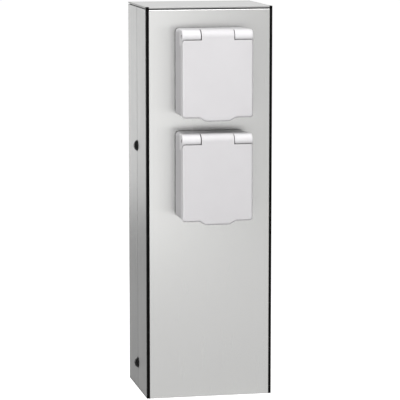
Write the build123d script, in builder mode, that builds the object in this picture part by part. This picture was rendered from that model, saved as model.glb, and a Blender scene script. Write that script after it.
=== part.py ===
from build123d import *
from math import cos, pi, sin, sqrt, tan
import os

# Garden socket post: a steel column with two hinged-lid sockets on its front.
# Millimetres, +Z up, front towards -Y, origin on the ground at the centre of the anchor holes.

# Post, overall
post_width = 130.0
post_depth = 105.0
post_height = 400.0
cut_over = 1.0  # how far a cut runs past the faces that it opens

# Folded housing shell
shell_sheet = 1.5
shell_bend = 0.5  # inside radius of the folds
shell_lip = 14.0  # front lips, which the panel is bolted to
top_lip = 12.0  # lips under the top cover
groove_width = 0.8  # fine line down the middle of each side
groove_depth = 0.7

# Front panel, top cover and the seal between the cover and the housing
panel_sheet = 2.0
panel_return = 12.0  # folded edge under the top cover
panel_bend = 1.6  # outside radius of that fold
panel_play = 0.5
cover_sheet = 1.5
cover_round = 0.4
top_gasket_thick = 1.0
top_gasket_inset = 0.3

# Black edge strips on the front corners
strip_face = 3.0
strip_round = 0.8
tongue_thick = 1.2  # clamped between the panel and the housing's lip
tongue_reach = 10.0

# Welded studs and nuts, M4
stud_radius = 2.0
stud_hole_gap = 0.3
stud_tail = 1.5  # stud past its nut
thread_gap = 0.05
m4_nut_flats = 7.0
m4_nut_height = 3.2
panel_stud_shares = (0.1, 0.42, 0.9)
cover_stud_share = 0.3

# Side screws, M6 button heads, and their rivet nuts
side_screw_foot = 27.0  # ground to the lower pair
side_screw_drop = 145.0  # top of the post to the upper pair
side_screw_radius = 3.0
side_screw_length = 14.0
side_hole_gap = 0.3
side_head_radius = 5.5
side_head_height = 3.3
side_head_crown = 2.9  # radius of the flat on top of the dome
side_head_rim = 0.5
key_flats = 4.0
key_depth = 2.0
rivet_nut_flange_radius = 5.0
rivet_nut_flange_thick = 0.8
rivet_nut_radius = 4.5
rivet_nut_bulge_radius = 5.6
rivet_nut_bulge_length = 3.0
rivet_nut_tail = 3.0

# Uprights
upright_sheet = 3.0
upright_width = 36.0
upright_over = 20.0  # above the upper side screw
upright_bend = 3.0
foot_length = 25.0
foot_bolt_inset = 14.0
foot_bolt_offset = 9.0  # each way from the upright's middle

# Base plate
base_sheet = 4.0
base_corner = 4.0
base_gap = 1.8  # to the housing's front lips
anchor_inset_x = 17.7
anchor_inset_y = 16.0
anchor_hole_radius = 4.5

# Foot bolts, M5
m5_radius = 2.5
m5_hole_gap = 0.25
m5_flats = 8.0
m5_head_height = 3.5
bolt_end_gap = 0.5

# Cable grommet
grommet_hole_radius = 12.0
grommet_bore_radius = 7.0
grommet_flange_radius = 15.0
grommet_flange_thick = 2.5
grommet_round = 1.0

# Rail bracket between the uprights, and its rivets
bracket_set_back = 32.5  # the post's back to the bracket's front face
bracket_sheet = 2.0
bracket_bend = 1.0
bracket_tab = 16.0
bracket_height = 50.0
rivet_inset = 6.0
rivet_offset = 15.0  # above and below the rail's middle
rivet_radius = 2.0
rivet_head_radius = 3.6
rivet_head_height = 1.6
rivet_tail_radius = 3.2
rivet_tail_height = 1.6

# Terminal rail
rail_height_share = 0.3  # of the post's height
rail_end_gap = 7.7
rail_width = 35.0
rail_depth = 7.5
rail_sheet = 1.0
rail_hat_width = 27.0
rail_screw_inset = 10.0
rail_screw_length = 6.0

# Rail terminals and end clamps
terminal_thick = 8.0
terminal_play = 0.1
terminal_height = 44.0
terminal_depth = 36.0
terminal_chamfer = 8.0
hook_gap = 0.2
hook_thick = 2.4
hook_toe = 2.0
entry_inset = 14.0
entry_spacing = 9.0
entry_depth = 8.0
clamp_screw_offset = 8.0
clamp_screw_radius = 2.1
clamp_screw_gap = 0.2
clamp_screw_length = 6.0
clamp_screw_sink = 1.5
end_clamp_thick = 9.0
end_clamp_height = 40.0
end_clamp_depth = 28.0
end_clamp_chamfer = 5.0

# Wires, insulated, with bare ends
wire_radius = 1.4
wire_gap = 0.3
core_radius = 0.7
core_gap = 0.3
slope_start_shares = (0.32, 0.72)  # lower and upper wire, of the height from terminal to contact
slope_end_shares = (0.8, 0.92)
wire_bend_share = 0.45  # of the shorter run beside a bend

# Pan-head machine screws, M4
m4_head_radius = 3.8
m4_head_height = 2.4
slot_width = 0.9
slot_depth = 1.1

# Sockets: places and outside sizes
upper_socket_drop = 64.5  # top of the post to the socket's middle
socket_pitch = 104.0
body_width = 71.0
body_height = 87.0
body_corner = 4.0
body_wall = 2.5
rim_step = 0.3  # the frame and the lid stand this far past the box
socket_gasket_thick = 2.5
socket_gasket_inset = 0.4
seam_depth = 31.0  # panel to the seam between box and frame
frame_thick = 5.0
frame_corner = 4.0
lid_gap = 0.8
lid_thick = 4.2
lid_corner = 3.0
lid_round = 2.0
tab_depth = 3.6
tab_inset = 17.0
tab_slope = 6.6
tab_corner = 2.5

# Socket hinge
barrel_radius = 7.0
knuckle_length = 18.5
knuckle_radius = 6.5
knuckle_round = 0.8
hinge_gap = 0.8
trough_wall = 1.5
pin_radius = 2.0
pin_running_gap = 0.05
pin_seat_gap = 0.02
pin_sink = 0.4
pin_chamfer = 0.4

# Hinge spring around the pin
spring_wire_radius = 0.4
spring_radius = 3.2
spring_pitch = 1.4
spring_turns = 6
spring_bend = 1.0
spring_leg = 4.0
spring_end_play = 0.4
spring_hole_gap = 0.12
pocket_gap = 0.8

# Lid inside
seal_width = 3.0
seal_side_inset = 4.5
seal_foot_inset = 4.0
seal_top_gap = 1.7
seal_corner = 4.0
seal_groove = 1.4
seal_clear = 0.25
seal_fit_gap = 0.05
lid_pocket_depth = 1.5
lid_pocket_inset = 4.5

# Frame inside
lip_ring_wall = 1.5
lip_ring_depth = 3.0
lip_ring_gap = 0.2

# Earthed two-pin insert
insert_drop = 6.5  # centre below the socket's middle
insert_plate = 50.0
insert_plate_thick = 2.0
insert_corner = 3.0
insert_gap = 0.3
cup_radius = 19.75
cup_depth = 17.5
cup_floor = 3.0
cup_wall = 2.5
cup_round = 0.8
cup_gap = 0.5
pin_hole_spacing = 19.0
pin_hole_radius = 2.75
guide_width = 5.0
guide_height = 2.5
guide_setback = 1.5

# Earth clip
clip_sheet = 0.8
clip_width = 8.0
clip_root = 19.8
clip_crown = 17.9
clip_tip = 19.5
clip_reach = 16.0  # forward of the strap
clip_bend = 1.2
clip_round = 0.8
clip_slot_gap = 0.5
clip_tab_gap = 0.2
earth_block_drop = 6.0

# Contacts and their carrier
contact_inner_radius = 2.45
contact_outer_radius = 3.3
contact_slit = 0.8
contact_sleeve = 18.0
block_size = 7.0
block_gap = 0.2
block_wire_inset = 3.2
carrier_width = 32.0
carrier_height = 26.0
carrier_back_wall = 1.2
ear_side_gap = 1.5
ear_height = 12.0
ear_thick = 2.5
ear_screw_inset = 8.5
cutout_width = 35.0
cutout_up = 15.0
cutout_down = 21.0
cutout_corner = 2.0
contact_screw_radius = 1.75
contact_screw_gap = 0.1  # between a screw's end and the bare wire
centre_screw_radius = 1.9
centre_screw_length = 9.0
centre_head_radius = 3.6
centre_head_height = 1.9
centre_hole_gap = 0.2

# Places that follow from the sizes
side_x = post_width / 2
front_y = -post_depth / 2
back_y = post_depth / 2
panel_back_y = front_y + panel_sheet
lip_front_y = panel_back_y + tongue_thick
lip_back_y = lip_front_y + shell_sheet
strip_side = panel_sheet + tongue_thick
panel_half = side_x - strip_face
shell_inner_x = side_x - shell_sheet
shell_inner_back_y = back_y - shell_sheet
cover_bottom_z = post_height - cover_sheet
shell_top_z = cover_bottom_z - top_gasket_thick
panel_stud_x = side_x - shell_lip / 2
cover_stud_x = shell_inner_x - top_lip / 2
cover_stud_y = cover_stud_share * post_depth
stud_hole_radius = stud_radius + stud_hole_gap
upright_x = shell_inner_x - rivet_nut_flange_thick
upright_inner_x = upright_x - upright_sheet
side_screw_heights = (side_screw_foot, post_height - side_screw_drop)
upright_top_z = side_screw_heights[1] + upright_over
foot_top_z = base_sheet + upright_sheet
foot_bolt_x = upright_x - foot_bolt_inset
base_depth = 2 * (abs(lip_back_y) - base_gap)
anchor_spacing_x = 2 * (upright_x - anchor_inset_x)
anchor_spacing_y = base_depth - 2 * anchor_inset_y
bracket_face_y = back_y - bracket_set_back
bracket_back_y = bracket_face_y + bracket_sheet
bracket_edge_y = bracket_back_y - bracket_tab
rivet_y = bracket_edge_y + rivet_inset
rail_mid_z = rail_height_share * post_height
rail_length = 2 * (upright_inner_x - bracket_sheet - rail_end_gap)
rail_screw_spacing = rail_length - 2 * rail_screw_inset
rail_front_y = bracket_face_y - rail_depth
terminal_front_y = rail_front_y - terminal_depth
terminal_pitch = terminal_thick + terminal_play
terminal_top_z = rail_mid_z + terminal_height / 2
entry_ys = (terminal_front_y + entry_inset, terminal_front_y + entry_inset + entry_spacing)

box_back_y = front_y - socket_gasket_thick
box_front_y = front_y - seam_depth
box_floor_y = box_back_y - body_wall
frame_front_y = box_front_y - frame_thick
lid_back_y = frame_front_y - lid_gap
lid_front_y = lid_back_y - lid_thick
hinge_y = lid_front_y + barrel_radius
hinge_up = body_height / 2 - knuckle_radius  # above the socket's middle
trough_radius = barrel_radius + hinge_gap
block_back_y = hinge_y + trough_radius + trough_wall
block_foot = hinge_up - trough_radius - trough_wall  # above the socket's middle
frame_half = body_width / 2 + rim_step
frame_foot = body_height / 2 + rim_step  # below the socket's middle
knuckle_x = frame_half - knuckle_length
barrel_length = 2 * (knuckle_x - hinge_gap)
tab_top_width = 2 * (frame_half - tab_inset)
tab_foot_width = tab_top_width - 2 * tab_slope
seal_reach = frame_half - seal_side_inset
seal_top = hinge_up - trough_radius - seal_top_gap
seal_foot = frame_foot - seal_foot_inset
pocket_radius = spring_radius + spring_wire_radius + pocket_gap
spring_length = spring_turns * spring_pitch
pocket_depth = spring_length + 2 * spring_bend + spring_end_play
spring_start_x = barrel_length / 2 - pocket_depth + spring_bend + spring_end_play
leg_hole_radius = spring_wire_radius + spring_hole_gap
leg_end_x = knuckle_x + spring_leg  # in the right knuckle
cup_floor_y = frame_front_y + cup_depth
cup_back_y = cup_floor_y + cup_floor
cup_outer_radius = cup_radius + cup_wall
carrier_front_y = cup_back_y + clip_sheet
sleeve_back_y = carrier_front_y + contact_sleeve
block_end_y = sleeve_back_y + block_size
carrier_back_y = block_end_y + carrier_back_wall
contact_x = pin_hole_spacing / 2
wire_y = block_end_y - block_wire_inset
contact_screw_length = block_wire_inset - core_radius - contact_screw_gap
ear_front_y = box_floor_y - ear_thick
ear_reach = body_width / 2 - body_wall - ear_side_gap
ear_screw_x = body_width / 2 - ear_screw_inset
upper_socket_mid = post_height - upper_socket_drop
socket_mids = (upper_socket_mid - socket_pitch, upper_socket_mid)
socket_names = ("lower", "upper")
phase_names = ("line", "neutral", "earth")


def front_plane(y, z=0):
    """A sketch plane that faces the front, at a depth y and a height z."""
    return Plane(origin=(0, y, z), x_dir=(1, 0, 0), z_dir=(0, -1, 0))


def side_plane(x, y=0, z=0):
    """A sketch plane that faces the right side. Its axes are Y and Z."""
    return Plane(origin=(x, y, z), x_dir=(0, 1, 0), z_dir=(1, 0, 0))


def out_plane(side, x, y, z):
    """A plane on the left (-1) or right (+1) that faces outwards."""
    return Plane(origin=(side * x, y, z), x_dir=(0, 1, 0), z_dir=(side, 0, 0))


def turned(plane, start, length, radius, mode=Mode.ADD):
    """One round step along a plane's normal, in the part that is being built."""
    with Locations(plane.offset(start)):
        Cylinder(radius, length, align=(Align.CENTER, Align.CENTER, Align.MIN), mode=mode)


def coned(plane, start, length, radius, end_radius, mode=Mode.ADD):
    """One tapered step along a plane's normal, in the part that is being built."""
    with Locations(plane.offset(start)):
        Cone(radius, end_radius, length, align=(Align.CENTER, Align.CENTER, Align.MIN), mode=mode)


def hexed(plane, start, length, flats, mode=Mode.ADD):
    """One hexagonal step along a plane's normal, in the part that is being built."""
    with BuildSketch(plane.offset(start)) as outline:
        RegularPolygon(flats / 2, 6, major_radius=False)
    extrude(outline.sketch, amount=length, mode=mode)


def write(piece, name):
    """Label a finished piece and save it."""
    piece.part.label = name
    export_step(piece.part, f"parts/{name}.step")


def make_housing_shell():
    """Both sides and the back, folded from one sheet, with lips for the panel and the cover."""
    depth = back_y - lip_front_y
    mouth = post_width - 2 * shell_lip
    lip_depth = shell_inner_back_y - lip_back_y
    with BuildPart() as shell:
        with BuildSketch(Plane.XY):
            with Locations((0, (lip_front_y + back_y) / 2)):
                RectangleRounded(post_width, depth, shell_bend + shell_sheet)
                RectangleRounded(
                    2 * shell_inner_x, depth - 2 * shell_sheet, shell_bend, mode=Mode.SUBTRACT
                )
            with Locations((0, lip_front_y)):
                Rectangle(mouth, 2 * (shell_sheet + cut_over), mode=Mode.SUBTRACT)
        extrude(amount=shell_top_z)
        with BuildSketch(Plane.XY.offset(shell_top_z - shell_sheet)):
            with Locations((0, lip_back_y)):
                Rectangle(2 * shell_inner_x, lip_depth, align=(Align.CENTER, Align.MIN))
                Rectangle(
                    2 * (shell_inner_x - top_lip),
                    lip_depth - top_lip,
                    align=(Align.CENTER, Align.MIN),
                    mode=Mode.SUBTRACT,
                )
        extrude(amount=shell_sheet)
        with BuildSketch(Plane.XY):
            with Locations((-side_x, 0), (side_x, 0)):
                Rectangle(2 * groove_depth, groove_width)
        extrude(amount=shell_top_z, mode=Mode.SUBTRACT)
        with BuildSketch(side_plane(0)):
            with Locations(*[(0, z) for z in side_screw_heights]):
                Circle(side_screw_radius + side_hole_gap)
        extrude(amount=side_x + cut_over, both=True, mode=Mode.SUBTRACT)
        with BuildSketch(front_plane(lip_back_y + cut_over)):
            with Locations(*panel_stud_places()):
                Circle(stud_hole_radius)
        extrude(amount=shell_sheet + 2 * cut_over, mode=Mode.SUBTRACT)
        with BuildSketch(Plane.XY.offset(shell_top_z - shell_sheet - cut_over)):
            with GridLocations(2 * cover_stud_x, 2 * cover_stud_y, 2, 2):
                Circle(stud_hole_radius)
        extrude(amount=shell_sheet + 2 * cut_over, mode=Mode.SUBTRACT)
    return shell


def panel_stud_places():
    """The panel's studs as X and Z, on both lips."""
    heights = [share * shell_top_z for share in panel_stud_shares]
    return [(side * panel_stud_x, z) for side in (-1, 1) for z in heights]


def socket_screw_places():
    """The sockets' fixing screws as X and Z."""
    return [(side * ear_screw_x, mid - insert_drop) for mid in socket_mids for side in (-1, 1)]


def make_front_panel():
    """Flat sheet between the edge strips, with a folded top edge and the sockets' openings."""
    return_width = 2 * (side_x - shell_lip - panel_play)
    with BuildPart() as panel:
        with BuildSketch(front_plane(panel_back_y)):
            Rectangle(2 * panel_half, shell_top_z, align=(Align.CENTER, Align.MIN))
            with Locations(*[(0, mid - insert_drop) for mid in socket_mids]):
                cutout_outline(Mode.SUBTRACT)
            with Locations(*socket_screw_places()):
                Circle(stud_hole_radius, mode=Mode.SUBTRACT)
        extrude(amount=panel_sheet)
        with BuildSketch(Plane.XY.offset(shell_top_z - panel_sheet)):
            with Locations((0, panel_back_y)):
                Rectangle(return_width, panel_return, align=(Align.CENTER, Align.MIN))
        extrude(amount=panel_sheet)
        fold = panel.edges().filter_by(Axis.X).sort_by_distance((0, front_y, shell_top_z))[0]
        fillet(fold, panel_bend)
    return panel


def make_panel_studs():
    """Studs welded to the back of the panel, through the tongues and the housing's lips."""
    stud_length = tongue_thick + shell_sheet + m4_nut_height + stud_tail
    with BuildPart() as studs:
        with BuildSketch(front_plane(panel_back_y)):
            with Locations(*panel_stud_places()):
                Circle(stud_radius)
        extrude(amount=-stud_length)
    return studs


def cutout_outline(mode=Mode.ADD):
    """The opening behind a socket, around the centre of its insert."""
    with Locations((0, (cutout_up - cutout_down) / 2)):
        RectangleRounded(cutout_width, cutout_up + cutout_down, cutout_corner, mode=mode)


def make_edge_strip(side):
    """Black corner strip with a tongue behind the panel. side is -1 on the left, 1 on the right."""
    with BuildPart() as strip:
        with BuildSketch(Plane.XY):
            with Locations((side * (side_x - strip_face / 2), front_y)):
                Rectangle(strip_face, strip_side, align=(Align.CENTER, Align.MIN))
        extrude(amount=post_height)
        corner = strip.edges().filter_by(Axis.Z).sort_by_distance((side * side_x, front_y, 0))[0]
        fillet(corner, strip_round)
        with BuildSketch(Plane.XY):
            with Locations((side * (panel_half - tongue_reach / 2), panel_back_y)):
                Rectangle(tongue_reach, tongue_thick, align=(Align.CENTER, Align.MIN))
        extrude(amount=shell_top_z)
        with BuildSketch(front_plane(lip_front_y + cut_over)):
            with Locations(*panel_stud_places()):
                Circle(stud_hole_radius)
        extrude(amount=tongue_thick + cut_over, mode=Mode.SUBTRACT)
    return strip


def make_panel_nuts():
    with BuildPart() as nuts:
        with BuildSketch(front_plane(lip_back_y)):
            with Locations(*panel_stud_places()):
                RegularPolygon(m4_nut_flats / 2, 6, major_radius=False)
                Circle(stud_radius + thread_gap, mode=Mode.SUBTRACT)
        extrude(amount=-m4_nut_height)
    return nuts


def make_top_gasket():
    """Seal between the housing's top edge and the cover, notched for the edge strips."""
    outer_half = shell_inner_x - top_gasket_inset
    back = shell_inner_back_y - top_gasket_inset
    front = front_y + top_gasket_inset
    notch = outer_half - panel_half + top_gasket_inset
    with BuildPart() as gasket:
        with BuildSketch(Plane.XY.offset(shell_top_z)):
            with Locations((0, (front + back) / 2)):
                Rectangle(2 * outer_half, back - front)
                Rectangle(
                    2 * (outer_half - top_lip), back - front - 2 * top_lip, mode=Mode.SUBTRACT
                )
            with Locations((-outer_half, front), (outer_half, front)):
                Rectangle(2 * notch, 2 * strip_side, mode=Mode.SUBTRACT)
            with GridLocations(2 * cover_stud_x, 2 * cover_stud_y, 2, 2):
                Circle(stud_hole_radius, mode=Mode.SUBTRACT)
        extrude(amount=top_gasket_thick)
    return gasket


def make_top_cover():
    """Flat plate with softened edges, notched for the edge strips."""
    with BuildPart() as cover:
        with BuildSketch(Plane.XY.offset(cover_bottom_z)) as outline:
            Rectangle(post_width, post_depth)
            fillet(outline.vertices().group_by(Axis.Y)[-1], shell_bend + shell_sheet)
            with Locations((-side_x, front_y), (side_x, front_y)):
                Rectangle(2 * strip_face, 2 * strip_side, mode=Mode.SUBTRACT)
        extrude(amount=cover_sheet)
        top = cover.faces().sort_by(Axis.Z)[-1]
        fillet(top.edges(), cover_round)
    return cover


def make_cover_studs():
    """Studs welded under the cover, through its seal and the housing's top lips."""
    stud_length = top_gasket_thick + shell_sheet + m4_nut_height + stud_tail
    with BuildPart() as studs:
        with BuildSketch(Plane.XY.offset(cover_bottom_z)):
            with GridLocations(2 * cover_stud_x, 2 * cover_stud_y, 2, 2):
                Circle(stud_radius)
        extrude(amount=-stud_length)
    return studs


def make_cover_nuts():
    with BuildPart() as nuts:
        with BuildSketch(Plane.XY.offset(shell_top_z - shell_sheet)):
            with GridLocations(2 * cover_stud_x, 2 * cover_stud_y, 2, 2):
                RegularPolygon(m4_nut_flats / 2, 6, major_radius=False)
                Circle(stud_radius + thread_gap, mode=Mode.SUBTRACT)
        extrude(amount=-m4_nut_height)
    return nuts


def side_screw_planes():
    """Planes on both outer sides of the housing, at each side screw."""
    return [out_plane(side, side_x, 0, z) for side in (-1, 1) for z in side_screw_heights]


def make_housing_screws():
    """Black button heads with a hexagon socket."""
    with BuildPart() as screws:
        for plane in side_screw_planes():
            axis = Axis(plane.origin, plane.z_dir)
            section = Plane(origin=plane.origin, x_dir=plane.z_dir, z_dir=plane.x_dir)
            with BuildSketch(section) as dome:
                with BuildLine():
                    Polyline(
                        (side_head_height, side_head_crown),
                        (side_head_height, 0),
                        (0, 0),
                        (0, side_head_radius),
                        (side_head_rim, side_head_radius),
                    )
                    RadiusArc(
                        (side_head_rim, side_head_radius),
                        (side_head_height, side_head_crown),
                        side_head_radius,
                        short_sagitta=True,
                    )
                make_face()
            revolve(dome.sketch, axis=axis)
            turned(plane, -side_screw_length, side_screw_length, side_screw_radius)
            hexed(plane, side_head_height - key_depth, key_depth, key_flats, Mode.SUBTRACT)
    return screws


def make_rivet_nuts():
    """Threaded sleeves that are set into the uprights."""
    bulge_start = -rivet_nut_flange_thick - upright_sheet - rivet_nut_bulge_length
    tail_start = bulge_start - rivet_nut_tail
    with BuildPart() as nuts:
        for plane in side_screw_planes():
            inside = plane.offset(-shell_sheet)
            turned(inside, -rivet_nut_flange_thick, rivet_nut_flange_thick, rivet_nut_flange_radius)
            turned(inside, bulge_start, rivet_nut_bulge_length, rivet_nut_bulge_radius)
            turned(inside, tail_start, -tail_start, rivet_nut_radius)
            turned(inside, tail_start, -tail_start, side_screw_radius + thread_gap, Mode.SUBTRACT)
    return nuts


def make_base_plate():
    """Ground plate with four anchor holes, threaded holes for the uprights and a cable hole."""
    with BuildPart() as base:
        with BuildSketch(Plane.XY):
            RectangleRounded(2 * upright_x, base_depth, base_corner)
            with GridLocations(anchor_spacing_x, anchor_spacing_y, 2, 2):
                Circle(anchor_hole_radius, mode=Mode.SUBTRACT)
            Circle(grommet_hole_radius, mode=Mode.SUBTRACT)
            with GridLocations(2 * foot_bolt_x, 2 * foot_bolt_offset, 2, 2):
                Circle(m5_radius + thread_gap, mode=Mode.SUBTRACT)
        extrude(amount=base_sheet)
    return base


def make_upright(side):
    """Flat bar with a foot folded inwards. side is -1 on the left, 1 on the right."""
    outer = side * upright_x
    foot_end = side * (upright_x - foot_length)
    inner = side * upright_inner_x
    with BuildPart() as upright:
        with BuildSketch(front_plane(upright_width / 2)) as section:
            with BuildLine():
                Polyline(
                    (outer, base_sheet),
                    (outer, upright_top_z),
                    (inner, upright_top_z),
                    (inner, foot_top_z),
                    (foot_end, foot_top_z),
                    (foot_end, base_sheet),
                    close=True,
                )
            make_face()
            corner = section.vertices().sort_by_distance((outer, base_sheet, 0))[0]
            fillet(corner, upright_bend + upright_sheet)
            bend = section.vertices().sort_by_distance((inner, foot_top_z, 0))[0]
            fillet(bend, upright_bend)
        extrude(amount=upright_width)
        for z in side_screw_heights:
            turned(
                out_plane(side, upright_inner_x - cut_over, 0, z),
                0,
                upright_sheet + 2 * cut_over,
                rivet_nut_radius,
                Mode.SUBTRACT,
            )
        for plane in rivet_planes(side):
            turned(plane, -upright_sheet, upright_sheet, rivet_radius, Mode.SUBTRACT)
            coned(
                plane, -rivet_head_height, rivet_head_height, rivet_radius, rivet_head_radius,
                Mode.SUBTRACT,
            )
        with BuildSketch(Plane.XY.offset(base_sheet)):
            with Locations(*[(side * foot_bolt_x, y * foot_bolt_offset) for y in (-1, 1)]):
                Circle(m5_radius + m5_hole_gap)
        extrude(amount=upright_sheet, mode=Mode.SUBTRACT)
    return upright


def make_foot_bolts():
    shank = upright_sheet + base_sheet - bolt_end_gap
    with BuildPart() as bolts:
        with BuildSketch(Plane.XY.offset(foot_top_z)):
            with GridLocations(2 * foot_bolt_x, 2 * foot_bolt_offset, 2, 2):
                RegularPolygon(m5_flats / 2, 6, major_radius=False)
        extrude(amount=m5_head_height)
        with BuildSketch(Plane.XY.offset(foot_top_z)):
            with GridLocations(2 * foot_bolt_x, 2 * foot_bolt_offset, 2, 2):
                Circle(m5_radius)
        extrude(amount=-shank)
    return bolts


def make_cable_grommet():
    """Rubber ring in the base plate, where the supply cable would come in."""
    height = base_sheet + grommet_flange_thick
    with BuildPart() as grommet:
        turned(Plane.XY, 0, height, grommet_hole_radius)
        turned(Plane.XY, base_sheet, grommet_flange_thick, grommet_flange_radius)
        fillet(grommet.edges().filter_by(GeomType.CIRCLE).sort_by(Axis.Z)[-1], grommet_round)
        turned(Plane.XY, 0, height, grommet_bore_radius, Mode.SUBTRACT)
    return grommet


def rivet_planes(side):
    """Planes on an upright's outer face, at the bracket's rivets."""
    heights = (rail_mid_z - rivet_offset, rail_mid_z + rivet_offset)
    return [out_plane(side, upright_x, rivet_y, z) for z in heights]


def make_rail_bracket():
    """Cross sheet between the uprights, with a tab on each."""
    with BuildPart() as bracket:
        with BuildSketch(Plane.XY.offset(rail_mid_z - bracket_height / 2)) as plan:
            with Locations((0, bracket_edge_y)):
                Rectangle(2 * upright_inner_x, bracket_tab, align=(Align.CENTER, Align.MIN))
            fillet(plan.vertices().group_by(Axis.Y)[-1], bracket_bend + bracket_sheet)
            with Locations((0, bracket_edge_y - bracket_bend)):
                RectangleRounded(
                    2 * (upright_inner_x - bracket_sheet),
                    bracket_tab - bracket_sheet + bracket_bend,
                    bracket_bend,
                    align=(Align.CENTER, Align.MIN),
                    mode=Mode.SUBTRACT,
                )
        extrude(amount=bracket_height)
        for side in (-1, 1):
            for plane in rivet_planes(side):
                turned(
                    plane,
                    -upright_sheet - bracket_sheet - cut_over,
                    bracket_sheet + cut_over,
                    rivet_radius,
                    Mode.SUBTRACT,
                )
        with BuildSketch(front_plane(bracket_back_y, rail_mid_z)):
            with GridLocations(rail_screw_spacing, 0, 2, 1):
                Circle(stud_radius + thread_gap)
        extrude(amount=bracket_sheet, mode=Mode.SUBTRACT)
    return bracket


def make_bracket_rivets():
    """Countersunk outside, so that the uprights stay flat against the rivet nuts' flanges."""
    grip = upright_sheet + bracket_sheet
    with BuildPart() as rivets:
        for side in (-1, 1):
            for plane in rivet_planes(side):
                turned(plane, -grip, grip, rivet_radius)
                coned(plane, -rivet_head_height, rivet_head_height, rivet_radius, rivet_head_radius)
                turned(plane, -grip - rivet_tail_height, rivet_tail_height, rivet_tail_radius)
    return rivets


def make_terminal_rail():
    """Top-hat rail."""
    hat_half = rail_hat_width / 2
    with BuildPart() as rail:
        with BuildSketch(side_plane(-rail_length / 2, bracket_face_y, rail_mid_z)):
            with Locations((-rail_sheet / 2, 0)):
                Rectangle(rail_sheet, rail_hat_width)
            for side in (-1, 1):
                with Locations((-rail_depth / 2, side * (hat_half - rail_sheet / 2))):
                    Rectangle(rail_depth, rail_sheet)
                with Locations((rail_sheet / 2 - rail_depth, side * (hat_half + rail_width / 2) / 2)):
                    Rectangle(rail_sheet, rail_width / 2 - hat_half)
        extrude(amount=rail_length)
        with BuildSketch(front_plane(bracket_face_y, rail_mid_z)):
            with GridLocations(rail_screw_spacing, 0, 2, 1):
                Circle(stud_hole_radius)
        extrude(amount=rail_sheet, mode=Mode.SUBTRACT)
    return rail


def make_rail_screws():
    seat = front_plane(bracket_face_y - rail_sheet, rail_mid_z)
    with BuildPart() as screws:
        for side in (-1, 1):
            plane = seat.shift_origin((side * rail_screw_spacing / 2, seat.origin.Y, rail_mid_z))
            turned(plane, 0, m4_head_height, m4_head_radius)
            turned(plane, -rail_screw_length, rail_screw_length, stud_radius)
            with Locations(plane.offset(m4_head_height - slot_depth / 2)):
                Box(slot_width, 2 * m4_head_radius, slot_depth, mode=Mode.SUBTRACT)
    return screws


def rail_foot(half_height):
    """Hooks that hold a terminal or clamp on the rail, in a side sketch at the rail's front."""
    reach = rail_sheet + hook_gap + hook_thick
    inside = rail_width / 2 + hook_gap
    thick = min(hook_thick, half_height - inside)
    for side in (-1, 1):
        with Locations((reach / 2, side * (inside + thick / 2))):
            Rectangle(reach, thick)
        with Locations((reach - hook_thick / 2, side * (inside - hook_toe / 2))):
            Rectangle(hook_thick, hook_toe)


def make_terminal(order):
    """One wire terminal. order counts from the left: -1, 0 or 1."""
    mid_x = order * terminal_pitch
    left = side_plane(mid_x - terminal_thick / 2, rail_front_y, rail_mid_z)
    with BuildPart() as terminal:
        with BuildSketch(left) as profile:
            with Locations((-terminal_depth / 2, 0)):
                Rectangle(terminal_depth, terminal_height)
            chamfer(profile.vertices().group_by(Axis.X)[0], terminal_chamfer)
            rail_foot(terminal_height / 2)
        extrude(amount=terminal_thick)
        with BuildSketch(Plane.XY.offset(terminal_top_z)):
            with Locations(*[(mid_x, y) for y in entry_ys]):
                Circle(wire_radius + wire_gap)
        extrude(amount=-entry_depth, mode=Mode.SUBTRACT)
        with BuildSketch(Plane.XY.offset(terminal_top_z - entry_depth)):
            with Locations(*[(mid_x, y) for y in entry_ys]):
                Circle(core_radius + core_gap)
        extrude(amount=-entry_depth, mode=Mode.SUBTRACT)
        with BuildSketch(front_plane(terminal_front_y, rail_mid_z)):
            with Locations(*[(mid_x, side * clamp_screw_offset) for side in (-1, 1)]):
                Circle(clamp_screw_radius + clamp_screw_gap)
        extrude(amount=-clamp_screw_sink - clamp_screw_length, mode=Mode.SUBTRACT)
    return terminal


def make_terminal_screws():
    """Slotted clamp screws, two in each terminal."""
    start = front_plane(terminal_front_y + clamp_screw_sink, rail_mid_z)
    with BuildPart() as screws:
        for order in (-1, 0, 1):
            for side in (-1, 1):
                origin = (order * terminal_pitch, start.origin.Y, rail_mid_z + side * clamp_screw_offset)
                plane = start.shift_origin(origin)
                turned(plane, -clamp_screw_length, clamp_screw_length, clamp_screw_radius)
                with Locations(plane.offset(-slot_depth / 2)):
                    Box(slot_width, 2 * clamp_screw_radius, slot_depth, mode=Mode.SUBTRACT)
    return screws


def make_end_clamps():
    """Clamps that hold the row of terminals together on the rail."""
    inner = len(phase_names) * terminal_pitch / 2
    with BuildPart() as clamps:
        for start in (inner, -inner - end_clamp_thick):
            with BuildSketch(side_plane(start, rail_front_y, rail_mid_z)) as profile:
                with Locations((-end_clamp_depth / 2, 0)):
                    Rectangle(end_clamp_depth, end_clamp_height)
                chamfer(profile.vertices().group_by(Axis.X)[0], end_clamp_chamfer)
                rail_foot(end_clamp_height / 2)
            extrude(profile.sketch, amount=end_clamp_thick)
    return clamps


def make_socket_gasket(mid):
    """Dark seal between a socket's box and the panel."""
    size = (body_width - 2 * socket_gasket_inset, body_height - 2 * socket_gasket_inset)
    with BuildPart() as gasket:
        with BuildSketch(front_plane(front_y, mid)):
            RectangleRounded(*size, body_corner)
            with Locations((0, -insert_drop)):
                cutout_outline(Mode.SUBTRACT)
            with Locations((-ear_screw_x, -insert_drop), (ear_screw_x, -insert_drop)):
                Circle(stud_hole_radius, mode=Mode.SUBTRACT)
        extrude(amount=socket_gasket_thick)
    return gasket


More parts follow.
